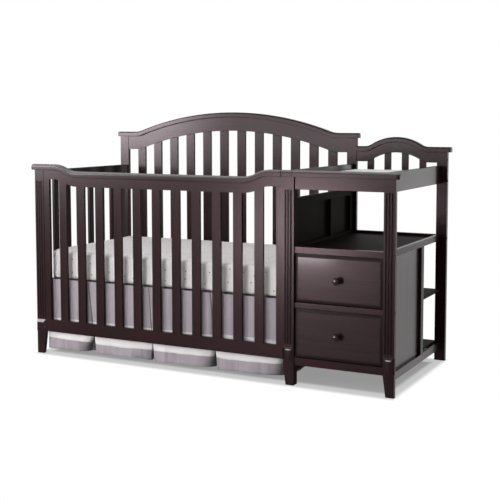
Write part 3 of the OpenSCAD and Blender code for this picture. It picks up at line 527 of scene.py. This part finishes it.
for node in ("left_front_post", "middle_front_post", "right_front_post"):
    post = finished(softened(node, 1.0), WOOD["z"], "espresso_wood", node)
    # painted shade in the flutes
    material_on_faces(post, RECESS_SHADE["z"], lambda c, n: FLUTE_NEAR < c.y < FLUTE_DEEP
            and FLUTE_LOW < c.z < FLUTE_HIGH and -0.9999 < n.y < -0.1)
    if node == "middle_front_post":              # its side towards the open bay lies in shade
        material_on_faces(post, MATT["z"], lambda c, n: n.x > 0.9)
    # painted highlight: the little slope over each ankle is coloured as if it catches the light
    material_on_faces(post, LEFT_LEDGE_HIGHLIGHT if node == "left_front_post" else LEDGE_LINE_HIGHLIGHT,
            lambda c, n: LEDGE_LOW < c.z < LEDGE_HIGH and n.y < -0.05 and n.z > 0.03)
for level in ("upper", "lower"):
    body = level + "_drawer"
    board = finished(softened(body + "_front", 1.3, 3), GLOSS["x"], "espresso_wood",
                     body + "_front", body=body)
    low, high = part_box(body + "_front")
    # painted shade on the step around the raised field
    material_on_faces(board, RECESS_SHADE["x"], lambda c, n: c.y < low.y + STEP_DEEP and not (
        low.x + STEP_IN < c.x < high.x - STEP_IN and low.z + STEP_IN < c.z < high.z - STEP_IN))
    finished(softened(body + "_box", 1.0), MATT["y"], "drawer_wood", body + "_box", body=body)
    finished(softened(body + "_bottom", 0.5), MATT["x"], "drawer_wood",
             body + "_bottom", body=body)


def s_curve(x, start, run, drop):
    """How far a cap's underside is below its level ends, at x."""
    radius = (run * run + drop * drop) / (4 * drop)
    u = min(max(x - start, 0.0), run)
    if u > run / 2:
        u = run - u
        return drop - (radius - math.sqrt(radius * radius - u * u))
    return radius - math.sqrt(radius * radius - u * u)


def arch(s, run, rise, big):
    """Height of an arch over its level ends, at a distance s from its crown."""
    small = (run * run + rise * rise) / (2 * rise) - big
    turn = run * big / (big + small)
    s = abs(s)
    if s >= run:
        return 0.0
    if s > turn:
        return small - math.sqrt(small * small - (run - s) ** 2)
    return rise - big + math.sqrt(big * big - s * s)


def cap_piece(name, line, xs, y0, y1, thick, round_top, ends=(4.0, 4.0)):
    """A cap that follows a line, its upper edges and its ends rounded."""
    def section(inset):
        r, low = round_top, 1.6
        w0, w1, top = y0 + inset, y1 - inset, thick - inset
        points = []
        for a in range(5):
            t = math.radians(22.5 * a)
            points.append((w0 + low - low * math.sin(t), low - low * math.cos(t)))
        for a in range(9):
            t = math.radians(11.25 * a)
            points.append((w0 + r - r * math.cos(t), top - r + r * math.sin(t)))
        mirrored = [(y0 + y1 - p, q) for p, q in points]
        return points + mirrored[::-1]

    stations = []
    for a in range(7):
        t = math.radians(15.0 * a)
        stations.append((xs[0] + ends[0] * (1 - math.cos(t)), ends[0] * (1 - math.sin(t))))
    stations += [(x, 0.0) for x in xs[1:-1] if xs[0] + ends[0] < x < xs[-1] - ends[1]]
    for a in range(6, -1, -1):
        t = math.radians(15.0 * a)
        stations.append((xs[-1] - ends[1] * (1 - math.cos(t)), ends[1] * (1 - math.sin(t))))
    rings = [[at(x, y, line(x) + z) for y, z in section(inset)] for x, inset in stations]
    n = len(rings[0])
    vertices = [v for ring in rings for v in ring]
    faces = [(i * n + j, i * n + (j + 1) % n, (i + 1) * n + (j + 1) % n, (i + 1) * n + j)
             for i in range(len(rings) - 1) for j in range(n)]
    faces += [tuple(range(n)), tuple((len(rings) - 1) * n + j for j in range(n))]
    piece = new_object(name, vertices, faces)
    piece = finished(even_normals(piece), WOOD["x"], "espresso_wood",
                     name.replace("_shaped", ""))
    if y0 < 0:                                   # the front's caps only
        # painted highlight on the caps' rounded upper edges
        material_on_faces(piece, CAP_HIGHLIGHT, lambda c, n: 0.3 < n.z < 0.985 and abs(n.y) > 0.15)
    return piece


def spaced(a, b, step):
    count = max(2, int(math.ceil((b - a) / step)))
    return [a + (b - a) * i / count for i in range(count + 1)]


FRONT_H, BACK_H, CHANGER_H = 912.0, 1066.0, 1002.0
CRIB_MID, BAY_MID = 702.0, 1608.0
SEAM = 0.8


def front_line(x):
    near = x if x < CRIB_MID else 2 * CRIB_MID - x
    return FRONT_H - s_curve(near, start=113.0, run=138.0, drop=33.0)


def back_line(x):
    return BACK_H + arch(x - CRIB_MID, run=602.0, rise=104.0, big=1657.0)


def changer_line(x):
    return CHANGER_H + arch(x - BAY_MID, run=162.0, rise=46.0, big=237.0)


FRONT_CAP = {"y0": -8, "y1": 32, "thick": 28, "round_top": 12.0}
BACK_CAP = {"y0": 731, "y1": 767, "thick": 25, "round_top": 7.0}
BLOCK_X0, BLOCK_X1, CAPS_X1 = 1345, 1399, 1880
FREE_END, JOINED_END = 9.0, 1.2              # how far a front cap's end is rounded

cap_piece("front_cap_shaped", front_line, spaced(-16, BLOCK_X0 - SEAM, 9.0), **FRONT_CAP,
          ends=(FREE_END, JOINED_END))
cap_piece("front_cap_block_shaped", front_line, spaced(BLOCK_X0 + SEAM, BLOCK_X1 - SEAM, 9.0),
          **FRONT_CAP, ends=(JOINED_END, JOINED_END))
cap_piece("changer_front_cap_shaped", front_line, spaced(BLOCK_X1 + SEAM, CAPS_X1, 30.0),
          **FRONT_CAP, ends=(JOINED_END, FREE_END))
cap_piece("back_arch_cap_shaped", back_line, spaced(-11, 1415, 12.0), **BACK_CAP)
cap_piece("changer_arch_cap_shaped", changer_line, spaced(1404 + SEAM, CAPS_X1, 8.0),
          **BACK_CAP, ends=(JOINED_END, 4.0))


def turned(name, profile, centre, segments=64):
    """A piece turned about the axis that points out of a drawer: [radius, reach] pairs."""
    vertices, faces = [], []
    for radius, reach in profile:
        for k in range(segments):
            a = 2 * math.pi * k / segments
            vertices.append(centre + Vector((radius * math.cos(a), -reach,
                                             radius * math.sin(a))) / 1000)
    for i in range(len(profile) - 1):
        for k in range(segments):
            m = (k + 1) % segments
            faces.append((i * segments + k, i * segments + m,
                          (i + 1) * segments + m, (i + 1) * segments + k))
    faces.append(tuple(range(segments)))
    faces.append(tuple((len(profile) - 1) * segments + k for k in range(segments)))
    return new_object(name, vertices, faces)


def knob_profile():
    points = [(3.6, -20.6), (4.0, -20.2), (4.0, -18.0), (2.1, -18.0), (2.1, 0.0), (9.2, 0.0),
              (9.2, 1.6)]
    for i in range(13):                                     # the waisted neck
        u = i / 12
        points.append((8.6 - 2.6 * math.sin(math.pi * min(1.0, u * 0.62 + 0.12)) ** 1.5
                       - 0.6 * u, 2.2 + 17.6 * u))
    for i in range(7):                                      # under the head
        u = i / 6
        points.append((6.6 + 9.0 * u ** 0.75, 19.9 + 3.2 * u ** 2))
    for i in range(1, 19):                                  # rim and dome
        t = math.pi / 2 * i / 18
        points.append((16.5 * math.cos(t) ** 0.62 if i < 18 else 0.3,
                       23.9 + 10.0 * math.sin(t) ** 1.35))
    return points


KNOB_SEAT, KNOB_HEIGHTS = 10, {"upper": 474.5, "lower": 233.5}
for level, height in KNOB_HEIGHTS.items():
    lathe = turned(level + "_knob_turned", knob_profile(), at(BAY_MID, KNOB_SEAT, height))
    finished(even_normals(lathe), POLISHED, "espresso_wood", level + "_knob",
             body=level + "_drawer")

for node, material in (("cabinet_runners", COATED), ("upper_drawer_runners", COATED),
                       ("lower_drawer_runners", COATED), ("support_frame", BLACK),
                       ("support_wires", ZINC), ("support_brackets", BLACK),
                       ("frame_bolts", BRONZE)):
    NODES[node].data.materials.clear()
    NODES[node].data.materials.append(material)


# ---------------------------------------------------------------- soft goods
def rounded(w, d, r, n):
    """A w by d rectangle's outline, its corners rounded by r in n steps."""
    points = []
    for k in range(4):
        cx = (1 if k in (0, 3) else -1) * (w / 2 - r)
        cy = (1 if k in (0, 1) else -1) * (d / 2 - r)
        for i in range(n + 1):
            a = math.pi / 2 * (k + i / n)
            points.append((cx + r * math.cos(a), cy + r * math.sin(a)))
    return points


def cushion(name, w, d, r, levels, centre, n=10, shrink=0.0):
    """A closed, crowned form from [inset, height] rings, in millimetres."""
    vertices, faces = [], []
    for inset, z in levels:
        for x, y in rounded(w - 2 * (inset + shrink), d - 2 * (inset + shrink),
                            max(r - 0.5 * inset, 6.0), n):
            vertices.append(centre + Vector((x, y, z)) / 1000)
    ring = 4 * (n + 1)
    for i in range(len(levels) - 1):
        for j in range(ring):
            m = (j + 1) % ring
            faces.append((i * ring + j, i * ring + m, (i + 1) * ring + m, (i + 1) * ring + j))
    faces.append(tuple(range(ring)))
    faces.append(tuple((len(levels) - 1) * ring + j for j in range(ring)))
    return new_object(name, vertices, faces)


def coords_of(mesh):
    co = np.zeros(len(mesh.vertices) * 3, np.float32)
    mesh.vertices.foreach_get("co", co)
    return co.reshape(-1, 3)


def puffed(piece, voxel, cap, pressure=4.0, frames=20, stiff=15.0):
    """The piece's cover swells under a little air, and no point moves further than cap."""
    remesh = piece.modifiers.new("remesh", "REMESH")
    remesh.mode = "VOXEL"
    remesh.voxel_size = voxel
    applied(piece)
    before = coords_of(piece.data)
    cloth = piece.modifiers.new("cloth", "CLOTH")
    cloth.settings.quality = 4
    cloth.settings.mass = 0.3
    cloth.settings.tension_stiffness = stiff
    cloth.settings.compression_stiffness = stiff
    cloth.settings.shear_stiffness = 5.0
    cloth.settings.bending_stiffness = 0.4
    cloth.settings.use_pressure = True
    cloth.settings.uniform_pressure_force = pressure
    cloth.settings.effector_weights.gravity = 0.0
    cloth.collision_settings.use_collision = False
    cloth.point_cache.frame_start = 1
    cloth.point_cache.frame_end = frames
    for f in range(1, frames + 1):
        SCENE.frame_set(f)
    shown = piece.evaluated_get(bpy.context.evaluated_depsgraph_get())
    after = coords_of(shown.data)
    piece.modifiers.clear()
    SCENE.frame_set(1)
    move = after - before
    length = np.linalg.norm(move, axis=1, keepdims=True)
    move *= np.minimum(1.0, cap / np.maximum(length, 1e-9))
    piece.data.vertices.foreach_set("co", (before + move).astype(np.float32).ravel())
    piece.data.update()
    return piece


def unwrapped(piece):
    """UVs in metres: each face is laid flat along the side that it faces most."""
    mesh = piece.data
    layer = mesh.uv_layers.new(name="cloth")
    for p in mesh.polygons:
        n = p.normal
        for li in p.loop_indices:
            c = mesh.vertices[mesh.loops[li].vertex_index].co
            if abs(n.z) > 0.72:
                uv = (c.x, c.y)
            elif abs(n.y) >= abs(n.x):
                uv = (c.x, c.z + 0.31)
            else:
                uv = (c.y, c.z + 0.31)
            layer.data[li].uv = uv
        p.use_smooth = True
    return piece


MATTRESS_LOW, MATTRESS_H = 376.0, 136.0
MATTRESS_W, MATTRESS_D = 1308.0, 699.0
MATTRESS_MID = (705.0, 385.5)


def mattress():
    h = MATTRESS_H
    levels = [(5, 0), (2, 2), (0.8, 7), (0.4, 22), (1.5, h * 0.35), (2.5, h * 0.55), (1.0, h - 30),
              (1.2, h - 18), (4, h - 8), (10, h - 2.5), (20, h + 0.5), (40, h + 2.5), (80, h + 4),
              (160, h + 5), (280, h + 5.5)]
    piece = cushion("mattress_cover", MATTRESS_W, MATTRESS_D, 26, levels,
                    at(*MATTRESS_MID, MATTRESS_LOW), shrink=1.5)
    puffed(piece, 0.009, 0.006)
    mesh = piece.data
    low, high = MATTRESS_LOW / 1000, (MATTRESS_LOW + h) / 1000
    mid = at(*MATTRESS_MID, 0)
    for v in mesh.vertices:
        c = v.co
        n = noise.noise(Vector((c.x * 5, c.y * 5, c.z * 9)))
        top = min(1.0, max(0.0, (c.z - high + 0.02) / 0.02))
        # a sheet pulled over the corners: faint ridges along the top, gathers low down
        ridge = noise.noise(Vector((c.x * 2.2, c.y * 26, 3.1)))
        v.co.z += top * (0.0012 * n + 0.0011 * ridge)
        side = 1 - top
        tuck = max(0.0, 1 - (c.z - low) / 0.06)
        pucker = noise.noise(Vector((c.x * 17, c.y * 17, c.z * 3 + 7)))
        out = Vector((c.x - mid.x, c.y - mid.y, 0))
        if out.length > 0:
            reach = Vector((out.x / 0.65, out.y / 0.35, 0))
            out = Vector((1 if out.x > 0 else -1, 0, 0)) if abs(reach.x) > abs(reach.y) else \
                Vector((0, 1 if out.y > 0 else -1, 0))
        v.co += out * (side * (0.0014 * n + 0.0016 * tuck * pucker))
        v.co.z = max(v.co.z, low)
    unwrapped(piece)
    finished(piece, SHEET, "sheet_cloth", "mattress")


mattress()


def changing_pad():
    low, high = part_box("changing_pad")
    w, d = (high.x - low.x) * 1000, (high.y - low.y) * 1000
    h = (high.z - low.z) * 1000 - 3.7
    levels = [(7, 0), (2.2, 3), (0.4, 9), (0.2, h * 0.5), (0.4, h - 9), (2.2, h - 3.5),
              (7, h - 0.5), (16, h + 1.4), (50, h + 2.6), (110, h + 3.2), (180, h + 3.4)]
    centre = Vector(((low.x + high.x) / 2, (low.y + high.y) / 2, low.z))
    piece = cushion("changing_pad_cover", w, d, 26, levels, centre, shrink=2.0)
    puffed(piece, 0.006, 0.004)
    for v in piece.data.vertices:
        c = v.co
        v.co.z += 0.0012 * noise.noise(Vector((c.x * 9, c.y * 9, c.z * 20)))
        v.co.z = max(v.co.z, low.z)
    unwrapped(piece)
    finished(piece, PAD, "pad_cloth", "changing_pad")


changing_pad()

SKIRT_TOP, HEM = 373.4, 24.0


def hanging(f):
    """The skirt's height from the deck at 0 to the hem at 1."""
    return SKIRT_TOP + (HEM - SKIRT_TOP) * f


def eased(u):
    u = min(1.0, max(0.0, u))
    return u * u * (3 - 2 * u)


def cloth_piece(name, columns, rows, place, thick=0.0016):
    vertices = [place(i, k) for k in range(rows + 1) for i in range(columns + 1)]
    n = columns + 1
    faces = [(k * n + i, k * n + i + 1, (k + 1) * n + i + 1, (k + 1) * n + i)
             for k in range(rows) for i in range(columns)]
    piece = new_object(name, vertices, faces)
    solid = piece.modifiers.new("thick", "SOLIDIFY")
    solid.thickness = thick
    solid.offset = 0.0
    return applied(piece)


def ripple(x, f):
    """Soft upright folds in a panel, deeper towards the hem."""
    depth = (0.7 + 1.5 * f) * (1 + math.sin(2 * math.pi * (x - 318.0) / 111.0 + 0.6 * f))
    depth += (0.8 + 1.8 * f) * noise.noise(Vector((x / 34.0, f * 0.9, 1.7)))
    return depth + (0.3 + 0.5 * f) * noise.noise(Vector((x / 11.0, f * 2.0, 5.1)))


def skirt_profile(f):
    """The front skirt seen from above at one height: [x, depth] points, always as many."""
    points = []
    start = SKIRT_X0
    for top, hem, w0, w1, w2, bend in PLEATS + ((SKIRT_X1, SKIRT_X1, 0.0, 0.0, 0.0, 130.0),):
        last = top == SKIRT_X1
        edge = top + (hem - top) * f
        if f < 0.75:
            width = w0 + (w1 - w0) * f / 0.75
        else:
            width = w1 + (w2 - w1) * eased((f - 0.75) / 0.25) ** 0.8
        curl = 4.0 + (bend - 4.0) * f ** 2.2
        back_by = 3.0 + (31.0 if bend > 20 else 2.0) * f ** 1.5
        end = edge - width
        run = end - curl
        turn = 10.0 * f ** 5 if bend < 20 else 0.0           # the second panel turns away
        for i in range(60):                                  # the flat of the panel
            x = start + (run - start) * i / 60
            open_side = min(1.0, (x - start) / 12.0)
            points.append((x, ripple(x, f) * open_side + turn * eased((x - run + 115) / 60)))
        flat = ripple(run, f) + turn
        for i in range(11):                                  # its right end curls back
            t = math.pi / 2 * i / 10
            points.append((run + curl * math.sin(t), flat + back_by * (1 - math.cos(t))))
        if last:
            break
        deep, behind = 19.0 + 12.0 * f, 13.0
        back = points[-1][1]
        for i in range(1, 6):                                # on to the back of the pleat
            points.append((end + 0.6 * i / 5, back + (max(deep, back + 1.0) - back) * i / 5))
        deep = points[-1][1]
        for i in range(1, 9):
            points.append((end + (edge + behind - end) * i / 8, deep))
        for i in range(1, 9):                                # and forward to the next edge
            u = i / 8
            points.append((edge + behind - 12.4 * u, deep + (1.8 - deep) * u))
        points.append((edge, 0.9))
        start = edge + 0.5
    return points


def skirt_front():
    rows = 40
    profiles = [skirt_profile(k / rows) for k in range(rows + 1)]

    def place(i, k):
        f = k / rows
        x, depth = profiles[k][i]
        z = hanging(f)
        z += f * (1.8 * noise.noise(Vector((x / 70.0, 4.2, 0.0)))
                  + 0.16 * max(0.0, depth - 6.0))
        return at(x, SKIRT_Y + depth, z)

    piece = cloth_piece("skirt_front_hung", len(profiles[0]) - 1, rows, place)
    unwrapped(piece)
    finished(piece, SKIRT, "skirt_cloth", "skirt_front")


skirt_front()


def skirt_rest():
    pieces = []
    rows, columns, back_columns = 24, 150, 300
    for name, x, turn in (("left", 55.0, 1), ("right", 1356.0, -1)):
        def place(i, k, x=x, turn=turn):
            f = k / rows
            y = 90.0 + 590.0 * i / columns
            depth = (0.8 + 3.0 * f) * (1 + math.sin(2 * math.pi * (i / columns * 4) + 1.3 * f))
            depth += 1.2 * f * noise.noise(Vector((y / 40.0, f, x)))
            return at(x + turn * max(0.0, depth), y, hanging(f))
        piece = cloth_piece("skirt_drop_" + name, columns, rows, place)
        pieces.append((piece, (0.6, 0.35)))

    def place_back(i, k):
        f = k / rows
        x = 68.0 + 1276.0 * i / back_columns
        depth = (1.0 + 4.5 * f) * (1 + math.sin(2 * math.pi * (i / back_columns * 9) + 0.9 * f)) / 2
        depth += 1.2 * f * noise.noise(Vector((x / 40.0, f, 9.0)))
        return at(x, 730.0 - max(0.0, depth), hanging(f))
    pieces.append((cloth_piece("skirt_drop_back", back_columns, rows, place_back),
                   (1.29, 0.35)))

    deck_columns, deck_rows = 40, 20

    def place_deck(i, k):
        return at(66.0 + 1279.0 * i / deck_columns, 49.0 + 672.0 * k / deck_rows,
                  374.4 + 0.25 * noise.noise(Vector((i / 3.0, k / 3.0, 2.0))))
    pieces.append((cloth_piece("skirt_deck", deck_columns, deck_rows, place_deck, 0.0012),
                   (1.28, 0.675)))
    for piece, flat in pieces:
        unwrapped(piece)
        deck = piece.name == "skirt_deck"
        finished(piece, SKIRT, "skirt_cloth", *(["skirt_sides"] if deck else []))


skirt_rest()


# ---------------------------------------------------------------- studio
def area_light(name, spot, aim, size, power, gloss=True, diffuse=True,
               colour=(1.0, 1.0, 1.0)):
    data = bpy.data.lights.new(name, "AREA")
    data.shape = "RECTANGLE"
    data.size, data.size_y = size
    data.energy = power
    data.color = colour
    lamp = bpy.data.objects.new(name, data)
    SCENE.collection.objects.link(lamp)
    lamp.location = spot
    lamp.rotation_euler = (Vector(aim) - Vector(spot)).to_track_quat("-Z", "Y").to_euler()
    lamp.visible_glossy = gloss
    lamp.visible_diffuse = diffuse
    lamp.visible_transmission = False
    lamp.visible_camera = False


# What lights the cloth and the wood, and the bright cards that only the lacquer mirrors.
area_light("left_key", (-3.65, -3.5, 1.6), (-0.2, 0, 0.6), (1.3, 2.0), 118, gloss=False,
           colour=(1.0, 0.965, 0.995))
area_light("front_box", (-1.25, -4.1, 0.67), (0.4, 0, 0.6), (0.5, 1.28), 34, gloss=False)
area_light("front_fill", (-0.6, -5.2, 3.4), (0, 0, 0.4), (3.0, 2.0), 88, gloss=False)
area_light("side_box", (2.3, 4.2, 1.5), (0.4, 0, 0.8), (1.2, 2.0), 30, gloss=False)
area_light("top_box", (0.0, 0.4, 4.2), (0, 0, 0), (3.0, 2.2), 60, gloss=False)
area_light("left_fill", (-4.4, 1.2, 2.2), (0, 0, 0.5), (2.4, 2.2), 30, gloss=False)
area_light("left_card", (-3.6, -3.5, 1.72), (-3.6, 0, 1.72), (1.5, 1.5), 620, diffuse=False)
area_light("front_card", (-1.17, -4.1, 0.30), (-1.17, 0, 0.30), (0.5, 0.64), 96, diffuse=False,
           colour=(1.0, 0.91, 0.94))
area_light("high_card", (-0.13, -1.2, 1.08), (-0.13, 0, 1.08), (1.7, 0.34), 21, diffuse=False,
           colour=(0.86, 1.0, 0.94))
area_light("corner_card", (-1.86, -1.2, 1.1), (-1.86, 0, 1.1), (0.7, 0.4), 10.5, diffuse=False,
           colour=(0.86, 1.0, 0.94))
area_light("side_card", (2.32, 4.2, 0.75), (0.9, 0, 0.75), (0.5, 1.2), 5.0, diffuse=False)


def background_rays(tree):
    """One for rays that see the background itself: from the camera, a gloss or a pane."""
    path = tree.nodes.new("ShaderNodeLightPath")
    joined = None
    for ray in ("Is Camera Ray", "Is Glossy Ray", "Is Transmission Ray"):
        if joined is None:
            joined = path.outputs[ray]
            continue
        most = tree.nodes.new("ShaderNodeMath")
        most.operation = "MAXIMUM"
        tree.links.new(joined, most.inputs[0])
        tree.links.new(path.outputs[ray], most.inputs[1])
        joined = most.outputs[0]
    return joined


def make_world():
    world = bpy.data.worlds.new("studio")
    world.use_nodes = True
    tree = world.node_tree
    tree.nodes.clear()
    out = tree.nodes.new("ShaderNodeOutputWorld")
    soft = tree.nodes.new("ShaderNodeBackground")
    soft.inputs["Color"].default_value = (1.0, 1.0, 1.0, 1.0)
    soft.inputs["Strength"].default_value = 0.22
    white = tree.nodes.new("ShaderNodeBackground")
    white.inputs["Color"].default_value = (1.0, 1.0, 1.0, 1.0)
    white.inputs["Strength"].default_value = 1.0
    mix = tree.nodes.new("ShaderNodeMixShader")
    tree.links.new(background_rays(tree), mix.inputs[0])
    tree.links.new(soft.outputs[0], mix.inputs[1])
    tree.links.new(white.outputs[0], mix.inputs[2])
    tree.links.new(mix.outputs[0], out.inputs["Surface"])
    SCENE.world = world


make_world()


def make_floor():
    """A pale floor, plain white some way off; near the crib a painted shadow over a weak real one.
    """
    size = 14.0
    floor = new_object("floor", [(-size, -size, 0), (size, -size, 0), (size, size, 0),
                                 (-size, size, 0)], [(0, 1, 2, 3)], smooth=False)
    s = Shader("floor")
    s.tree.nodes.remove(s.surface)
    plain = s.node("ShaderNodeBsdfDiffuse")
    plain.inputs["Color"].default_value = (0.78, 0.78, 0.78, 1.0)
    shaded = s.node("ShaderNodeBsdfDiffuse")
    shaded.inputs["Color"].default_value = (0.14, 0.14, 0.14, 1.0)
    # how far in from the crib's outline a spot lies, the ends counting for more
    spot = s.place()
    inside = [s.math("SUBTRACT", half, s.math("ABSOLUTE", spot[k]))
              for k, half in (("X", CENTRE_X / 1000), ("Y", CENTRE_Y / 1000))]
    inside = s.math("MINIMUM", s.math("MULTIPLY_ADD", inside[0], 1.55, -0.0144), inside[1])
    # painted shadow: the emission that camera and gloss rays see falls off under and near the crib
    painted_shadow_glow = s.node("ShaderNodeEmission")
    s.link(s.math("SUBTRACT", s.span(inside, -0.042, 0.004, 1.0, 0.53),
                  s.span(inside, 0.045, 0.078, 0.0, 0.24)), painted_shadow_glow.inputs["Strength"])
    near = s.node("ShaderNodeAddShader")
    s.link(shaded.outputs[0], near.inputs[0])
    s.link(painted_shadow_glow.outputs[0], near.inputs[1])
    white = s.node("ShaderNodeEmission")
    white.inputs["Strength"].default_value = 1.0
    far = s.node("ShaderNodeMixShader")
    s.link(s.span(inside, -0.028, -0.06), far.inputs[0])
    s.link(near.outputs[0], far.inputs[1])
    s.link(white.outputs[0], far.inputs[2])
    mix = s.node("ShaderNodeMixShader")
    s.link(background_rays(s.tree), mix.inputs[0])
    s.link(plain.outputs[0], mix.inputs[1])
    s.link(far.outputs[0], mix.inputs[2])
    s.link(mix.outputs[0], s.out.inputs["Surface"])
    floor.data.materials.append(s.material)


make_floor()

SCENE.view_settings.view_transform = "Standard"
